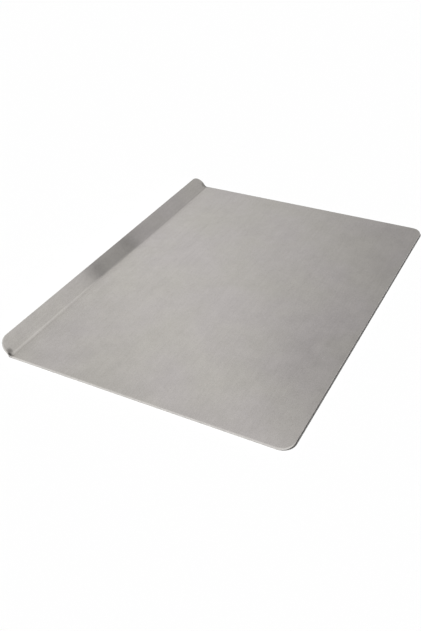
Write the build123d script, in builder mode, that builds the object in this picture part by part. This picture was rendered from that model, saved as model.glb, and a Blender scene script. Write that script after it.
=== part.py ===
"""A heavy aluminium cookie sheet, blanked from one sheet and bent up along one long side.

Frame: the origin is on the surface that the sheet rests on, under the middle of its outline.
+X runs from the lip across the flat part to the free long edge, +Y along the lip, and +Z up.
Lengths are in millimetres and angles in degrees.
"""

import os
from math import cos, radians, sin

from build123d import *

# Driving dimensions of the sheet
sheet_length = 406.4  # along the lip, 16 inches
plate_width = 297.0  # from the mould line of the bend to the free long edge
sheet_thickness = 2.6  # 10 gauge sheet

# The lip, which is the grip: it leans outwards, so that fingers or a mitt get under it
lip_slant = 20.0  # up the outer face, from the mould line to the top
lip_angle = 48.0  # above the flat part
bend_inner_radius = 2.6  # as large as the sheet is thick, which is usual for a press brake

# Corners of the blank, and the breaking of its cut edges
plate_corner_radius = 12.7
lip_corner_radius = 12.7
edge_break_radius = 0.5

# What the lip covers along X and Z, measured on the sheet's underside
lip_run = lip_slant * cos(radians(lip_angle))
lip_rise = lip_slant * sin(radians(lip_angle))

# Where the section's corners stand, with the whole width centred on the origin
overall_width = lip_run + plate_width
lip_top_x = -overall_width / 2
mould_line_x = lip_top_x + lip_run
free_edge_x = overall_width / 2

# The bend's outer radius, and the line across the lip's thickness
bend_outer_radius = bend_inner_radius + sheet_thickness
lip_across = Axis((0, 0, 0), (sin(radians(lip_angle)), 0, cos(radians(lip_angle))))

with BuildPart() as baking_sheet:
    # The section is the underside's line, thickened upwards to the inside of the bend
    with BuildSketch(Plane.XZ) as section:
        with BuildLine() as underside:
            FilletPolyline(
                (free_edge_x, 0),
                (mould_line_x, 0),
                (lip_top_x, lip_rise),
                radius=bend_outer_radius,
            )
            offset(amount=sheet_thickness, side=Side.RIGHT)
        make_face()
    extrude(amount=sheet_length / 2, both=True)

    # The blank's four corners are round: two on the flat part, and two on top of the lip
    fillet(baking_sheet.edges().filter_by(Axis.Z), radius=plate_corner_radius)
    fillet(baking_sheet.edges().filter_by(lip_across), radius=lip_corner_radius)

    # The cut edges are broken all round, over and under, and the bend itself stays as it is
    bend_lines = (
        baking_sheet.edges()
        .filter_by(Axis.Y)
        .filter_by_position(Axis.X, mould_line_x - bend_outer_radius, mould_line_x + bend_outer_radius)
    )
    corner_seams = baking_sheet.edges().filter_by(Axis.Z) + baking_sheet.edges().filter_by(lip_across)
    fillet(baking_sheet.edges() - bend_lines - corner_seams, radius=edge_break_radius)

baking_sheet.part.label = "baking_sheet"

os.makedirs("parts", exist_ok=True)
export_step(baking_sheet.part, "parts/baking_sheet.step")

size = baking_sheet.part.bounding_box().size
print(f"baking_sheet: {size.X:.2f} x {size.Y:.2f} x {size.Z:.2f} mm, {baking_sheet.part.volume / 1000:.1f} cm3")
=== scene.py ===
# %% [markdown]
# # A heavy aluminium cookie sheet
#
# The object is one blank of thick aluminium sheet, bent up along one long side so that a slanted
# lip stands there as the grip. There is hardly any shape to hide behind, so three things have to
# be right: the thickness and the softly broken edges, the rolled finish of the metal, and what
# the metal mirrors. The lesson goes in that order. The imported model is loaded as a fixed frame,
# the sheet is built over it with bmesh operators, its two finishes are mixed, and a small studio
# is put up around it.

from math import cos, degrees, hypot, radians, sin, tan

import bmesh
import bpy
from mathutils import Matrix, Vector


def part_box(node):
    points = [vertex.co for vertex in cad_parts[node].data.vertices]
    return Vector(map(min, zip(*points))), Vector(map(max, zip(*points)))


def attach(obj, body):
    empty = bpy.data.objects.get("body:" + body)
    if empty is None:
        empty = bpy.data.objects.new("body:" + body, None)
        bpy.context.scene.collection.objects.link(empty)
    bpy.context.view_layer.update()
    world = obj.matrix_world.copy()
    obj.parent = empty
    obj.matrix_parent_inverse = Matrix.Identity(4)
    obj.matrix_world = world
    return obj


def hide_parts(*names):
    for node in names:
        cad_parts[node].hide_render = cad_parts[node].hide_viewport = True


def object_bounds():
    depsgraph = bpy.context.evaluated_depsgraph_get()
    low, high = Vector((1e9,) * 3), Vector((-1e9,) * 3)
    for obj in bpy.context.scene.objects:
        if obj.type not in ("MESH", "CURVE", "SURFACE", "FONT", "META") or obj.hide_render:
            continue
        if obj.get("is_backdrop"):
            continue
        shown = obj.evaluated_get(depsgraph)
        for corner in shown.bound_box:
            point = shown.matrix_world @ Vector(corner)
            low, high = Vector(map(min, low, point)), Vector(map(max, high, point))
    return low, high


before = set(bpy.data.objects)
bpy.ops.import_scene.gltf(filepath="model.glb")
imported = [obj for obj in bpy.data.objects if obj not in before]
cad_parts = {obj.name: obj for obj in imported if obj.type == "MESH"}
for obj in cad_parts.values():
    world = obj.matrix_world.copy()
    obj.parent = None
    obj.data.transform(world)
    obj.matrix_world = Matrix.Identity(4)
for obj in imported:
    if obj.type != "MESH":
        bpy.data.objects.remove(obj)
cad_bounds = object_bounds()
sheet_low, sheet_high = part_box("baking_sheet")
print("nodes:", sorted(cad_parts))
print("box of the sheet in mm:", [round(1000 * side, 2) for side in sheet_high - sheet_low])

# %% [markdown]
# ## The sizes
#
# The maker of such a sheet thinks in a few numbers: the gauge of the metal, where the bend lies,
# how tight it is, and how the corners of the blank are cut. They could be read off the packed
# model, but written down once with names they also explain the shape. The bend has two radii,
# each for half of the turn: a tight one where the punch pressed, and a softer one where the metal
# runs out into the lip. The setbacks say how far from the mould line the curve starts and ends,
# so that the flat part and the lip keep their places whatever the radii are. At the end the box
# of the scene is printed next to the box of the frame. Nothing in a scene may change the size of
# the object.

# %% Sizes in metres
MM = 0.001

sheet_length = 406.4 * MM
plate_width = 297.0 * MM
gauge = 2.6 * MM
lip_slant = 20.0 * MM
lip_angle = radians(48.0)
bend_inner_radius = 2.6 * MM
run_out_radius = 6.5 * MM
corner_radius = 12.7 * MM
edge_break = 0.5 * MM

half_turn = lip_angle / 2
turn_radii = [bend_inner_radius + gauge, run_out_radius + gauge]
turn_reaches = [radius * tan(half_turn / 2) for radius in turn_radii]
shared_reach = sum(turn_reaches) * sin(half_turn) / sin(lip_angle)
lip_run = lip_slant * cos(lip_angle)
mould_line_x = lip_run - (lip_run + plate_width) / 2
free_edge_x = (lip_run + plate_width) / 2
bend_setback = turn_reaches[0] + shared_reach
lip_setback = turn_reaches[1] + shared_reach
bend_start_x = mould_line_x + bend_setback
lip_way = Vector((-cos(lip_angle), 0, sin(lip_angle)))
lip_normal = Vector((sin(lip_angle), 0, cos(lip_angle)))
print("the bend starts at x =", round(bend_start_x / MM, 2), "mm")

# %% [markdown]
# ## Bending the sheet
#
# On the real sheet the flat part, the bend and the lip are one skin of even thickness. It could
# be carved out of a box, but then the thickness has to be kept even by hand. It is easier to do
# as the press does: start from the line where the bend begins, pull the flat part out of it with
# an extrude, turn it up with two spins, and pull the lip out of the last edge. The first spin has
# the tight radius and the second the softer one. The centre moves along the line that stands
# square on the skin where they meet, so there is no kink. The skin has no thickness yet, which
# keeps every step easy to check.

# %% The skin of the underside
turn_steps = 7

sheet = bmesh.new()
line_ends = [sheet.verts.new((bend_start_x, side * sheet_length / 2, 0)) for side in (-1, 1)]
bend_line = sheet.edges.new(line_ends)


def pull_edge(edges, way):
    """Extrude these edges and move the new ones by way."""
    made = bmesh.ops.extrude_edge_only(sheet, edges=edges)["geom"]
    verts = [g for g in made if isinstance(g, bmesh.types.BMVert)]
    bmesh.ops.translate(sheet, verts=verts, vec=way)


pull_edge([bend_line], Vector((free_edge_x - bend_start_x, 0, 0)))
last = [*line_ends, bend_line]
centre = Vector((bend_start_x, 0, 0))
for turn, radius in enumerate(turn_radii):
    up = Vector((sin(turn * half_turn), 0, cos(turn * half_turn)))
    centre += up * (radius - (turn_radii[turn - 1] if turn else 0))
    spun = bmesh.ops.spin(
        sheet, geom=last, cent=centre, axis=(0, 1, 0), angle=half_turn, steps=turn_steps
    )
    last = spun["geom_last"]
bend_end = [g for g in last if isinstance(g, bmesh.types.BMEdge)]
pull_edge(bend_end, lip_way * (lip_slant - lip_setback))
print("faces in the skin:", len(sheet.faces))

# %% [markdown]
# ## Rounding the blank and giving it its gauge
#
# The four corners of the blank are cut round before it is bent. A bevel of corner points does
# that, because on a flat skin its offset is the radius. Then solidify gives the skin its
# thickness upwards, and it keeps the thickness even through the bend.

# %% Corners and thickness
corner_segments = 16

corners = [v for v in sheet.verts if len(v.link_edges) == 2]
bmesh.ops.bevel(
    sheet,
    geom=corners,
    offset=corner_radius,
    offset_type="OFFSET",
    segments=corner_segments,
    profile=0.5,
    affect="VERTICES",
    material=-1,
)
bmesh.ops.recalc_face_normals(sheet, faces=sheet.faces)
bmesh.ops.solidify(sheet, geom=sheet.faces[:], thickness=gauge)
print("open edges:", sum(not e.is_manifold for e in sheet.edges))

# %% [markdown]
# ## The cut faces and their broken edges
#
# Sheared metal has a cut face between two sharp rims, and on bakeware the rims are broken so that
# they don't cut a hand. The rim edges are the only ones whose faces meet at more than sixty
# degrees, so the angle finds them, and one bevel rounds them all, over and under and through the
# bend. Before that, the faces between two rims are given the second material slot, so that they
# can have the finish of cut metal. The narrow faces of the bend also lie between two rims, but
# their other edges are as long as the sheet. On a cut face they only cross the gauge, so a length
# under twice the gauge tells the two apart. The bevel gives each of its faces the slot of a
# neighbour. The broken edges are smooth like the rolled skin, so all of them are put back into
# the first slot.

# %% Mark the cut faces and break the edges
rim_angle = radians(60.0)
break_segments = 4
longest_crossing = 2 * gauge

rim = [e for e in sheet.edges if e.calc_face_angle(0) > rim_angle]
rim_set = set(rim)
for face in sheet.faces:
    inner_edges = [e for e in face.edges if e not in rim_set]
    between_rims = len(face.edges) - len(inner_edges) == 2
    is_cut = between_rims and inner_edges[0].calc_length() < longest_crossing
    face.material_index = int(is_cut)
print("cut faces:", sum(face.material_index for face in sheet.faces))
broken = bmesh.ops.bevel(
    sheet,
    geom=rim,
    offset=edge_break,
    offset_type="OFFSET",
    segments=break_segments,
    profile=0.5,
    affect="EDGES",
    material=-1,
)["faces"]
for face in broken:
    face.material_index = 0
print("faces on the broken edges:", len(broken))
print("volume in cm3:", round(sheet.calc_volume() / MM**3 / 1000, 2))

# %% [markdown]
# ## The ends of the bend
#
# Where a bend runs out at the end of the sheet, nothing holds the metal and it relaxes, so the
# inside of the bend sinks by a few tenths of a millimetre over the last few millimetres. A bump
# texture would be gone from the exported mesh, so the points themselves move. The long faces have
# no points near the ends, so first a few cuts go through the mesh, and then a soft fall-off
# pushes down what is near. The underside of the flat part stays where it is, because the sheet
# rests on it.

# %% Let the ends of the bend sink
sink_depth = 0.5 * MM
sink_reach = 6.0 * MM
sink_up_the_lip = 1.8 * MM
cuts_from_end = [0.9 * MM, 1.8 * MM, 2.8 * MM, 4.0 * MM, 5.6 * MM]
cuts_from_bend = [0.8 * MM, 1.8 * MM, 3.0 * MM, 4.6 * MM]
cut_tolerance = MM / 1000

lip_foot = Vector((mould_line_x, 0, 0)) + lip_way * lip_setback
bend_middle = Vector(
    (
        bend_start_x - bend_inner_radius * sin(half_turn),
        sheet_length / 2,
        turn_radii[0] - bend_inner_radius * cos(half_turn),
    )
)
sink_centre = bend_middle + lip_way * sink_up_the_lip


def cut_through(point, normal):
    """Cut the whole mesh along a plane and keep both sides."""
    geom = sheet.verts[:] + sheet.edges[:] + sheet.faces[:]
    bmesh.ops.bisect_plane(
        sheet, geom=geom, dist=cut_tolerance, plane_co=point, plane_no=normal
    )


for inset in cuts_from_end:
    for side in (-1, 1):
        cut_through((0, side * (sheet_length / 2 - inset), 0), (0, 1, 0))
for step in cuts_from_bend:
    cut_through(lip_foot + lip_way * step, lip_way)
    cut_through((bend_start_x + step, 0, 0), (1, 0, 0))

sunk = 0
for vert in sheet.verts:
    away = Vector((vert.co.x, abs(vert.co.y), vert.co.z)) - sink_centre
    closeness = max(0.0, 1.0 - (away.length / sink_reach) ** 2)
    if closeness and vert.co.z > gauge / 2:
        vert.co -= lip_normal * sink_depth * closeness**2
        sunk += 1
print("points moved at the ends of the bend:", sunk)

# %% [markdown]
# ## From bmesh to an object
#
# The mesh gets two UV maps, and neither is for a picture. The first one, grain, only has to run
# in the right directions: the shader takes from it which way the metal was rolled. The second
# one, blank, is close to the place on the flat blank in metres, before the bend, so that the
# distance from the rim can be worked out. Past the start of the bend it takes the straight
# distance from there, which is simpler than the way along the curve and less than a millimetre
# off. Weighted normals let the big flat faces stay truly flat while the narrow broken edges turn
# softly between them.

# %% The sheet as a piece
least_end_normal = 0.7

grain_uv = sheet.loops.layers.uv.new("grain")
blank_uv = sheet.loops.layers.uv.new("blank")
for face in sheet.faces:
    at_an_end = abs(face.normal.y) > least_end_normal
    for loop in face.loops:
        x, y, z = loop.vert.co
        across = x if x > bend_start_x else bend_start_x - hypot(x - bend_start_x, z)
        loop[grain_uv].uv = (z, x) if at_an_end else (across, y)
        loop[blank_uv].uv = (across, y)
    face.smooth = True

sheet_mesh = bpy.data.meshes.new("bent_sheet_mesh")
sheet.to_mesh(sheet_mesh)
sheet.free()
bent_sheet = bpy.data.objects.new("bent_sheet", sheet_mesh)
bpy.context.scene.collection.objects.link(bent_sheet)
weighting = bent_sheet.modifiers.new("flat_faces_stay_flat", "WEIGHTED_NORMAL")
weighting.weight = 100
weighting.keep_sharp = True

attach(bent_sheet, "root")
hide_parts("baking_sheet")
print("faces:", len(sheet_mesh.polygons))

# %% [markdown]
# ## Helpers for nodes
#
# A node tree can be clicked together by hand or written out. Written out, most lines only say
# which value goes into which socket, so one helper takes a dictionary of them.


# %% Node helpers
def put(tree, kind, inputs=None, **settings):
    """Add a shader node, set its properties, and fill its inputs with values or links."""
    made = tree.nodes.new("ShaderNode" + kind)
    for name, value in settings.items():
        setattr(made, name, value)
    for name, value in (inputs or {}).items():
        if isinstance(value, bpy.types.NodeSocket):
            tree.links.new(value, made.inputs[name])
        else:
            made.inputs[name].default_value = value
    return made


def calc(tree, operation, first, second=0.0):
    """One Math node, as a socket."""
    return put(tree, "Math", {0: first, 1: second}, operation=operation).outputs[0]


def fade(tree, value, low, high, to_low=0.0, to_high=1.0):
    """A soft step from to_low to to_high while value goes from low to high."""
    ends = {"Value": value, "From Min": low, "From Max": high, "To Min": to_low, "To Max": to_high}
    return put(tree, "MapRange", ends, interpolation_type="SMOOTHSTEP").outputs["Result"]


def add_shares(tree, start, shares):
    """Start plus each effect times its share."""
    total = start
    for effect, share in shares:
        total = calc(tree, "ADD", total, calc(tree, "MULTIPLY", effect, share))
    return total


def tint(tree, factor, first, second):
    """A mix of two colours, of which the first may be a socket."""
    first = first if isinstance(first, bpy.types.NodeSocket) else (*first, 1)
    values = {"Factor": factor, "A": first, "B": (*second, 1)}
    return put(tree, "Mix", values, data_type="RGBA").outputs["Result"]


def new_group(name, inputs, output):
    """A node group with one output. The inputs are names with their default values."""
    group = bpy.data.node_groups.new(name, "ShaderNodeTree")
    for socket, value in inputs.items():
        kind = "NodeSocketFloat" if isinstance(value, float) else "NodeSocketVector"
        group.interface.new_socket(socket, in_out="INPUT", socket_type=kind).default_value = value
    group.interface.new_socket(output, in_out="OUTPUT", socket_type="NodeSocketFloat")
    given = group.nodes.new("NodeGroupInput").outputs
    result = group.nodes.new("NodeGroupOutput").inputs
    return group, given, result


def use(tree, group, **inputs):
    """Place a group in a material with its own values, and give its output."""
    made = tree.nodes.new("ShaderNodeGroup")
    made.node_tree = group
    for name, value in inputs.items():
        socket = made.inputs[name.replace("_", " ")]
        if isinstance(value, bpy.types.NodeSocket):
            tree.links.new(value, socket)
        else:
            socket.default_value = value
    return made.outputs[0]


def new_material(name):
    """A material with its node tree and its Principled shader."""
    material = bpy.data.materials.new(name)
    material.use_nodes = True
    return material, material.node_tree, material.node_tree.nodes["Principled BSDF"]


# %% [markdown]
# ## Three effects for the metal
#
# Rolled metal has fine lines that all run one way, because the roll drags every small fault
# along. A noise that is stretched in that direction gives them, at any width and length. Slow
# clouds come from handling and washing. Hairlines are the few scratches that a scraper leaves:
# they are the thin peaks of another stretched noise, turned by an angle. Each effect is a group
# with real sizes as inputs, so that the rolled and the cut metal share the lines and the clouds
# at their own scales, and the hairlines can be laid twice.


# %% Group: lines along one direction
def stretched_noise(group, place, width, length, detail):
    """Noise with cells that are width wide and length long in Y."""
    fine = calc(group, "DIVIDE", 1.0, width)
    long = calc(group, "DIVIDE", 1.0, length)
    scale = put(group, "CombineXYZ", {"X": fine, "Y": long, "Z": fine}).outputs[0]
    spot = put(group, "VectorMath", {0: place, 1: scale}, operation="MULTIPLY").outputs[0]
    return put(group, "TexNoise", {"Vector": spot, "Scale": 1.0, "Detail": detail}).outputs["Fac"]


lines_contrast = (0.25, 0.75)

lines_inputs = {"Place": (0, 0, 0), "Line Width": 0.6 * MM, "Line Length": 30 * MM}
rolled_lines, given, result = new_group("rolled_lines", lines_inputs, "Lines")
noise = stretched_noise(
    rolled_lines, given["Place"], given["Line Width"], given["Line Length"], detail=3.0
)
rolled_lines.links.new(fade(rolled_lines, noise, *lines_contrast), result["Lines"])
print("nodes in the lines:", len(rolled_lines.nodes))

# %% Group: slow clouds
clouds_contrast = (0.3, 0.7)

clouds, given, result = new_group("clouds", {"Place": (0, 0, 0), "Size": 30 * MM}, "Clouds")
scale = calc(clouds, "DIVIDE", 1.0, given["Size"])
noise = put(clouds, "TexNoise", {"Vector": given["Place"], "Scale": scale, "Detail": 3.0})
clouds.links.new(fade(clouds, noise.outputs["Fac"], *clouds_contrast), result["Clouds"])
print("nodes in the clouds:", len(clouds.nodes))

# %% Group: hairlines
peak_height = 0.04

hair_inputs = {
    "Place": (0, 0, 0),
    "Angle": 0.0,
    "Line Width": 0.4 * MM,
    "Line Length": 60 * MM,
    "Rarity": 0.74,
}
hairlines, given, result = new_group("hairlines", hair_inputs, "Hairlines")
turned = put(
    hairlines,
    "VectorRotate",
    {"Vector": given["Place"], "Angle": given["Angle"]},
    rotation_type="Z_AXIS",
).outputs[0]
noise = stretched_noise(hairlines, turned, given["Line Width"], given["Line Length"], detail=1.0)
peak = calc(hairlines, "ADD", given["Rarity"], peak_height)
hairlines.links.new(fade(hairlines, noise, given["Rarity"], peak), result["Hairlines"])
print("groups:", [g.name for g in bpy.data.node_groups])

# %% [markdown]
# ## Wear along the rim
#
# The rim is what knocks against the oven rack and the other pans, so the metal is a little
# brighter and duller there, in an uneven band of a millimetre or two. On a mesh that could be
# painted by hand. Here the distance from the outline is worked out on the blank, which is a
# rectangle with round corners: the usual way is to fold the place into one quarter, take off the
# straight parts, and measure what is left against the radius of the corner.

# %% Group: distance from the rim of the blank
rim_inputs = {
    "Blank": (0, 0, 0),
    "Middle": 0.0,
    "Half Width": free_edge_x,
    "Half Length": sheet_length / 2,
    "Radius": corner_radius,
}
rim_gap, given, result = new_group("rim_gap", rim_inputs, "Gap")
parts = put(rim_gap, "SeparateXYZ", {0: given["Blank"]}).outputs
folded_x = calc(rim_gap, "ABSOLUTE", calc(rim_gap, "SUBTRACT", parts["X"], given["Middle"]))
folded_y = calc(rim_gap, "ABSOLUTE", parts["Y"])
past = []
for folded, half in ((folded_x, given["Half Width"]), (folded_y, given["Half Length"])):
    straight = calc(rim_gap, "SUBTRACT", half, given["Radius"])
    past.append(calc(rim_gap, "SUBTRACT", folded, straight))
corner = put(
    rim_gap,
    "CombineXYZ",
    {"X": calc(rim_gap, "MAXIMUM", past[0], 0.0), "Y": calc(rim_gap, "MAXIMUM", past[1], 0.0)},
).outputs[0]
corner_reach = put(rim_gap, "VectorMath", {0: corner}, operation="LENGTH").outputs["Value"]
inner = calc(rim_gap, "MINIMUM", calc(rim_gap, "MAXIMUM", past[0], past[1]), 0.0)
outward = calc(rim_gap, "ADD", corner_reach, inner)
rim_gap.links.new(calc(rim_gap, "SUBTRACT", given["Radius"], outward), result["Gap"])
print("nodes in the rim gap:", len(rim_gap.nodes))

# %% [markdown]
# ## Painted shade at the ends of the bend
#
# Where the bend runs out, the colour is painted dark as shade in the corner, on top of the sunken
# metal, and on the cut face beside it. A small dark decal could be laid there, but it would float
# over the surface. So the spot is found by its distance from one point, with the length mirrored
# so that the point serves both ends. The far end gets a smaller share of the painted shade. Both
# finishes use the same group.

# %% Group: painted shade near the ends of the bend
full_share = 0.18
middle_zone = 100 * MM

end_shade_inputs = {"Place": (0, 0, 0), "Middle": (0, 0, 0), "Reach": 4 * MM, "Far Share": 0.8}
end_shade, given, result = new_group("end_shade", end_shade_inputs, "Shade")
parts = put(end_shade, "SeparateXYZ", {0: given["Place"]}).outputs
end_length = calc(end_shade, "ABSOLUTE", parts["Y"])
to_one_end = {"X": parts["X"], "Y": end_length, "Z": parts["Z"]}
folded = put(end_shade, "CombineXYZ", to_one_end).outputs[0]
shade_gap = put(end_shade, "VectorMath", {0: folded, 1: given["Middle"]}, operation="DISTANCE")
share = calc(end_shade, "DIVIDE", shade_gap.outputs["Value"], given["Reach"])
spot = fade(end_shade, share, full_share, 1.0, 1.0, 0.0)
end_share = fade(end_shade, parts["Y"], -middle_zone, middle_zone, 1.0, given["Far Share"])
end_shade.links.new(calc(end_shade, "MULTIPLY", spot, end_share), result["Shade"])
print("nodes in the stain:", len(end_shade.nodes))

# %% Where the painted shade lies
# This dark colour is painted shade for the corners where the bend runs out.
painted_shade_colour = (0.07, 0.065, 0.06)
shade_reach = 4.2 * MM
shade_up, shade_inset = 2.0 * MM, 0.4 * MM
tail_reach = 1.15 * shade_reach
tail_up, tail_inset = 2.2 * MM, 2.6 * MM

shade_place = bend_middle + lip_way * shade_up - Vector((0, shade_inset, 0))
tail_place = shade_place + lip_way * tail_up - Vector((0, tail_inset, 0))
print("stain above the floor in mm:", round(shade_place.z / MM, 2))

# %% [markdown]
# ## The rolled finish
#
# The faces are mill finish aluminium with a satin sheen: a warm mid grey, almost a mirror along
# the grain and quite blurred across it. That difference is what makes the reflection on the lip
# end in a sharp line across it, while along the slope everything melts together. A plain rough
# shader can give either the sharp line or the melted slope, so the shader's own anisotropy is
# used, and the Tangent node tells it the direction from the UV map. Lines, clouds and hairlines
# only nudge colour, roughness and relief, because in the photograph they are barely there. The
# lines and the clouds each have a share of the tone between the darkest and the lightest metal.
# Very large clouds then cool the warm grey a little here and there, as a thin film of oxide does,
# and the hairlines lie on top.

# %% Material: rolled aluminium
dark_metal = (0.486, 0.465, 0.434)
light_metal = (0.667, 0.638, 0.597)
cool_film = (1.006, 0.994, 1.04, 1)
hair_metal = (0.68, 0.66, 0.64)
hair_share = 0.32

satin, tree, shader = new_material("satin_aluminium_rolled")
place = put(tree, "TexCoord").outputs["Object"]
speckle = use(tree, rolled_lines, Place=place, Line_Width=0.8 * MM, Line_Length=1.4 * MM)
fine_lines = use(tree, rolled_lines, Place=place, Line_Width=0.5 * MM, Line_Length=12 * MM)
wide_lines = use(tree, rolled_lines, Place=place, Line_Width=3.5 * MM, Line_Length=90 * MM)
patches = use(tree, clouds, Place=place, Size=26 * MM)
mottle = use(tree, clouds, Place=place, Size=8 * MM)
first_hairs = use(tree, hairlines, Place=place, Angle=radians(24))
second_hairs = use(
    tree, hairlines, Place=place, Angle=radians(-58), Line_Length=25 * MM, Rarity=0.75
)
hairs = calc(tree, "MAXIMUM", first_hairs, second_hairs)

tone_shares = [
    (speckle, 0.44),
    (fine_lines, 0.17),
    (wide_lines, 0.11),
    (mottle, 0.09),
    (patches, 0.19),
]
colour = tint(tree, add_shares(tree, 0.0, tone_shares), dark_metal, light_metal)
cooler = use(tree, clouds, Place=place, Size=85 * MM)
colour = put(
    tree,
    "Mix",
    {"Factor": cooler, "A": colour, "B": cool_film},
    data_type="RGBA",
    blend_type="MULTIPLY",
).outputs["Result"]
colour = tint(tree, calc(tree, "MULTIPLY", hairs, hair_share), colour, hair_metal)
print("the shares of the tone add up to", round(sum(part for _, part in tone_shares), 2))

# %% [markdown]
# The worn rim comes next. The width of the band is broken up by the clouds, so that it doesn't
# look drawn with a ruler. Along the top of the lip the outline that it is measured from stops
# short of the edge, so the band is wider there by that much. The tones of the lip were matched
# with it so.

# %% The worn rim
lip_top_across = bend_start_x - hypot(lip_run + bend_setback, lip_slant * sin(lip_angle))
short_of_the_edge = 3.6859 * MM
wear_far = lip_top_across + short_of_the_edge
least_wear, most_wear = 0.7 * MM, 2.2 * MM
worn_metal = (0.66, 0.64, 0.615)
worn_share = 0.12

blank = put(tree, "UVMap", uv_map="blank").outputs["UV"]
gap = use(
    tree,
    rim_gap,
    Blank=blank,
    Middle=(free_edge_x + wear_far) / 2,
    Half_Width=(free_edge_x - wear_far) / 2,
    Half_Length=sheet_length / 2,
    Radius=corner_radius,
)
scuffs = use(tree, clouds, Place=place, Size=3.5 * MM)
uneven_reach = fade(tree, scuffs, 0.0, 1.0, least_wear, most_wear)
worn = fade(tree, gap, 0.0, uneven_reach, 1.0, 0.0)
colour = tint(tree, calc(tree, "MULTIPLY", worn, worn_share), colour, worn_metal)
print("top of the lip on the blank in mm:", round(lip_top_across / MM, 2))
print("outline of the wear there in mm:", round(wear_far / MM, 2))

# %% Painted shade at the ends of the bend
tail_share = 0.6
painted_shade_share = 0.92

# Painted shade darkens the colour where the bend runs out, and the same mask makes it rougher.
painted_shade = use(tree, end_shade, Place=place, Middle=shade_place, Reach=shade_reach)
shade_tail = use(tree, end_shade, Place=place, Middle=tail_place, Reach=tail_reach)
painted_shade = calc(tree, "MAXIMUM", painted_shade, calc(tree, "MULTIPLY", shade_tail, tail_share))
colour = tint(tree, calc(tree, "MULTIPLY", painted_shade, painted_shade_share), colour, painted_shade_colour)
tree.links.new(colour, shader.inputs["Base Color"])
shade_sizes = [round(reach / MM, 2) for reach in (shade_reach, tail_reach)]
print("reach of the stain and of its smear in mm:", shade_sizes)

# %% Roughness, grain direction and relief of the rolled metal
clean_roughness = 0.125
rolled_relief = 0.004 * MM

rougher = [(patches, 0.02), (hairs, 0.10), (worn, 0.02), (painted_shade, 0.3)]
tree.links.new(add_shares(tree, clean_roughness, rougher), shader.inputs["Roughness"])
shader.inputs["Metallic"].default_value = 1.0
shader.inputs["Anisotropic"].default_value = 1.0
tangent = put(tree, "Tangent", direction_type="UV_MAP", uv_map="grain").outputs["Tangent"]
tree.links.new(tangent, shader.inputs["Tangent"])
relief = calc(tree, "SUBTRACT", fine_lines, hairs)
bump = put(tree, "Bump", {"Height": relief, "Strength": 0.25, "Distance": rolled_relief})
tree.links.new(bump.outputs["Normal"], shader.inputs["Normal"])
print("nodes in the rolled finish:", len(tree.nodes))

# %% [markdown]
# ## The cut finish
#
# The cut faces were sheared and then dressed with a file. They are about as bright as the rolled
# skin but rougher, and streaked straight through the thickness, so the same lines are turned
# upright.

# %% Material: cut aluminium
dark_cut = (0.50, 0.485, 0.465)
light_cut = (0.66, 0.64, 0.62)
cut_roughness = (0.16, 0.24)
cut_relief = 0.01 * MM
cut_shade_reach = 0.8 * shade_reach
cut_shade_share = 0.8

cut, tree, shader = new_material("satin_aluminium_cut")
place = put(tree, "TexCoord").outputs["Object"]
upright = put(tree, "VectorRotate", {"Vector": place, "Angle": radians(90)}, rotation_type="X_AXIS")
streaks = use(
    tree, rolled_lines, Place=upright.outputs[0], Line_Width=0.35 * MM, Line_Length=4 * MM
)
patches = use(tree, clouds, Place=place, Size=9 * MM)
tone = add_shares(tree, 0.0, [(streaks, 0.6), (patches, 0.4)])
colour = tint(tree, tone, dark_cut, light_cut)
# The same painted shade darkens the cut face beside the end of the bend.
painted_shade = use(tree, end_shade, Place=place, Middle=shade_place, Reach=cut_shade_reach)
colour = tint(tree, calc(tree, "MULTIPLY", painted_shade, cut_shade_share), colour, painted_shade_colour)
tree.links.new(colour, shader.inputs["Base Color"])
tree.links.new(fade(tree, streaks, 0.0, 1.0, *cut_roughness), shader.inputs["Roughness"])
shader.inputs["Metallic"].default_value = 1.0
bump = put(tree, "Bump", {"Height": streaks, "Strength": 0.5, "Distance": cut_relief})
tree.links.new(bump.outputs["Normal"], shader.inputs["Normal"])

for finish in (satin, cut):
    bent_sheet.data.materials.append(finish)
print("materials on the sheet:", [m.name for m in bent_sheet.data.materials])

# %% [markdown]
# ## The floor
#
# The sheet lies on a pale floor that runs past the frame on every side. It is plain matt white,
# so it takes the shadow and the metal can mirror it. Its colour is nearly as light as a colour
# can be, which makes the background white without more light on the object.

# %% Floor
floor_reach = 5.0
floor_white = (0.98, 0.98, 0.98, 1)

floor_mesh = bpy.data.meshes.new("floor_mesh")
grid = bmesh.new()
bmesh.ops.create_grid(grid, x_segments=1, y_segments=1, size=floor_reach)
grid.to_mesh(floor_mesh)
grid.free()
floor = bpy.data.objects.new("floor", floor_mesh)
bpy.context.scene.collection.objects.link(floor)
floor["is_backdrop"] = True

pale, tree, shader = new_material("pale_floor")
shader.inputs["Base Color"].default_value = floor_white
shader.inputs["Roughness"].default_value = 1.0
shader.inputs["Specular IOR Level"].default_value = 0.0
floor_mesh.materials.append(pale)
print("floor side in m:", 2 * floor_reach)

# %% [markdown]
# ## What the metal mirrors
#
# Bare metal has almost no colour of its own: it shows the room. The photograph tells what that
# room was: bright, dimmer behind the sheet, where the sharp edge of something dark draws the
# patch on the lip, and dark in two places on the camera's side. Real cards could be stood around
# the sheet, but they would get in the way of other views, so the world itself is shaded by
# direction.

# %% World
world = bpy.data.worlds.new("studio")
bpy.context.scene.world = world
world.use_nodes = True
tree = world.node_tree
way = put(tree, "TexCoord").outputs["Generated"]
way_parts = put(tree, "SeparateXYZ", {0: way}).outputs


def soft_card(centre, reach, level):
    """Scale the light by level in the direction centre, and by 1 past the card's reach."""
    gap = put(tree, "VectorMath", {0: way, 1: Vector(centre).normalized()}, operation="DISTANCE")
    return fade(tree, gap.outputs["Value"], 0.0, reach, level, 1.0)


def level_mix(factor, first, second):
    """A mix of two levels of light."""
    values = {"Factor": factor, "A": first, "B": second}
    return put(tree, "Mix", values, data_type="FLOAT").outputs["Result"]


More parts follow.
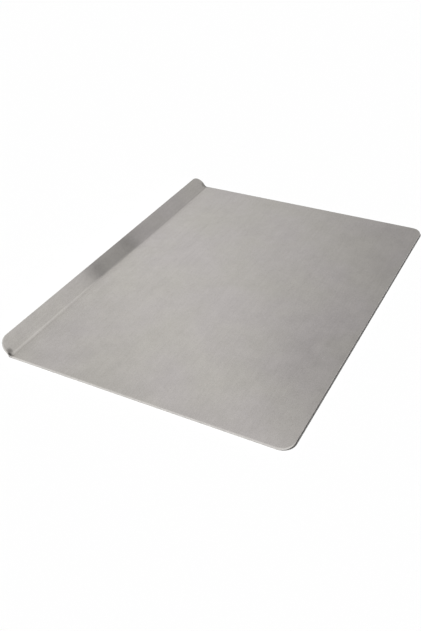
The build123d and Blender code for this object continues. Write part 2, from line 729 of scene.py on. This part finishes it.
room_behind, room_in_front = 0.78, 1.0
dim_behind = soft_card((-0.06, 0.80, 0.59), 0.36, 0.50)
behind = calc(tree, "MULTIPLY", dim_behind, room_behind)
print("light from the room, behind and in front:", room_behind, room_in_front)

# %% [markdown]
# The dark thing that the lip mirrors has a sharp edge and two bars, as a shelf or a window frame
# would have. It stands behind the sheet on the right and reaches over a limited height. The ramp
# is read from left to right: the bright room, the edge with the first bar, a dim gap, the second
# bar, and the dim room beyond. Only the turning points are given, and the ramp runs straight
# between them.

# %% The bars that the lip mirrors
bars = put(tree, "ValToRGB", {"Fac": way_parts["Y"]})
bar_stops = [
    (0.30, 0.85),
    (0.50, 0.70),
    (0.57, 0.76),
    (0.63, 0.76),
    (0.651, 0.70),
    (0.657, 0.29),
    (0.662, 0.29),
    (0.669, 0.46),
    (0.692, 0.47),
    (0.697, 0.29),
    (0.701, 0.31),
    (0.706, 0.54),
    (0.75, 0.58),
    (0.79, 0.60),
]
elements = bars.color_ramp.elements
elements.remove(elements[-1])
for i, (position, grey) in enumerate(bar_stops):
    element = elements[0] if i == 0 else elements.new(position)
    element.position = position
    element.color = (grey, grey, grey, 1)
print("stops in the bars:", len(elements))

# %% Where the bars stand
on_the_right = fade(tree, way_parts["X"], -0.05, 0.17)
high_enough = fade(tree, way_parts["Z"], 0.20, 0.32)
low_enough = fade(tree, way_parts["Z"], 0.68, 0.80, 1.0, 0.0)
bars_share = calc(tree, "MULTIPLY", on_the_right, calc(tree, "MULTIPLY", high_enough, low_enough))
mirrored = level_mix(bars_share, behind, bars.outputs["Color"])
in_front = fade(tree, way_parts["Y"], 0.1, 0.45, 1.0, 0.0)
mirrored = level_mix(in_front, mirrored, room_in_front)
print("nodes in the room:", len(tree.nodes))

# %% [markdown]
# More soft cards serve narrow places, and each has the name of what it changes. A light one high
# behind the sheet brightens the line along the bend. Five faint ones change the flat part slowly
# from end to end, by 6 to 20 percent each. The rims are the hard part: a rounded edge mirrors a
# long strip of the room, so its thin lines need a light one and dark ones low behind the sheet,
# and two dark ones on the camera's side.

# %% Cards for the bend, the flat part and the rims
cards = {
    "light_along_the_bend": ((0.29, 0.58, 0.76), 0.30, 1.23),
    "lighter_far_left": ((-0.49, 0.71, 0.51), 0.20, 1.07),
    "lighter_left": ((-0.40, 0.69, 0.60), 0.15, 1.06),
    "darker_near_left": ((-0.58, 0.54, 0.61), 0.17, 0.92),
    "darker_near_middle": ((-0.24, 0.72, 0.65), 0.13, 0.80),
    "darker_far_middle": ((-0.19, 0.86, 0.47), 0.13, 0.86),
    "light_line_on_the_right_rim": ((0.69, 0.68, 0.25), 0.12, 1.5),
    "dark_line_on_the_right_rim": ((0.56, 0.81, 0.15), 0.22, 0.2),
    "dark_line_on_the_far_rim": ((-0.30, 0.95, -0.02), 0.60, 0.2),
    "dark_line_on_top_of_the_lip": ((-0.71, 0.70, 0.03), 0.36, 0.3),
    "dark_line_on_the_near_rim": ((-0.45, -0.65, 0.61), 0.42, 0.4),
    "dark_line_on_the_end_of_the_lip": ((0.66, -0.45, 0.57), 0.55, 0.3),
}
for centre, reach, light in cards.values():
    mirrored = calc(tree, "MULTIPLY", mirrored, soft_card(centre, reach, light))
print("cards:", len(cards))

# %% [markdown]
# ## The light
#
# Most of the light comes from one lamp high on the near left, and the room only fills the
# shadows. The lamp is fairly small and steep, so the sheet lies on a shadow of about a
# millimetre, and the floor under the near end of the lip is still lit. That matters on the two
# cut faces: the near one mirrors lit floor and is light, and the right one mirrors the shadow at
# its own foot and is dark. The lamp itself stays out of the reflections, because in bare metal it
# would be one hard white patch. The camera sees the world as plain white.

# %% Light
fill_level = 0.1
lamp_level = 3.2
lamp_way = Vector((1.2, 0.25, -2.5))
lamp_spread = radians(8.0)
white_level = 1.0

paths = put(tree, "LightPath").outputs
level = level_mix(paths["Is Glossy Ray"], fill_level, mirrored)
level = level_mix(paths["Is Camera Ray"], level, white_level)
tree.links.new(level, tree.nodes["Background"].inputs["Strength"])
tree.nodes["Background"].inputs["Color"].default_value = (1, 1, 1, 1)

lamp_data = bpy.data.lights.new("main_lamp", "SUN")
lamp_data.energy = lamp_level
lamp_data.angle = lamp_spread
lamp = bpy.data.objects.new("main_lamp", lamp_data)
lamp.rotation_euler = lamp_way.to_track_quat("-Z", "Y").to_euler()
lamp.visible_glossy = False
bpy.context.scene.collection.objects.link(lamp)
along_the_floor = Vector((lamp_way.x, lamp_way.y, 0))
print("lamp above the floor in degrees:", round(degrees(lamp_way.angle(along_the_floor))))

# %% [markdown]
# ## The camera
#
# The picture was taken with a moderately long lens from the near right, about 36 degrees above
# the floor and rolled by a little under three degrees. The place, the aim and the lens were
# solved from the outline of the sheet, so the render lies on the photograph without any shift.

# %% Camera
camera_place = Vector((317.4, -611.0, 456.5)) * MM
camera_aim = Vector((5.7, -60.7, 2.6)) * MM
camera_roll = radians(-2.72)
film_height = 36.0
lens_length = 42.87

camera_data = bpy.data.cameras.new("camera")
camera_data.sensor_fit = "VERTICAL"
camera_data.sensor_height = film_height
camera_data.lens = lens_length
camera = bpy.data.objects.new("camera", camera_data)
bpy.context.scene.collection.objects.link(camera)
turn = (camera_aim - camera_place).to_track_quat("-Z", "Y").to_matrix()
turn = turn @ Matrix.Rotation(camera_roll, 3, "Z")
camera.matrix_world = Matrix.Translation(camera_place) @ turn.to_4x4()
bpy.context.scene.camera = camera
bpy.context.scene.view_settings.view_transform = "Standard"
print("camera to the middle of the sheet in mm:", round(camera_place.length / MM))

# %% The size of the frame and of the scene
visual_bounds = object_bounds()
for name, (low, high) in (("frame", cad_bounds), ("scene", visual_bounds)):
    print(name, "box in mm:", [round((b - a) / MM, 2) for a, b in zip(low, high)])
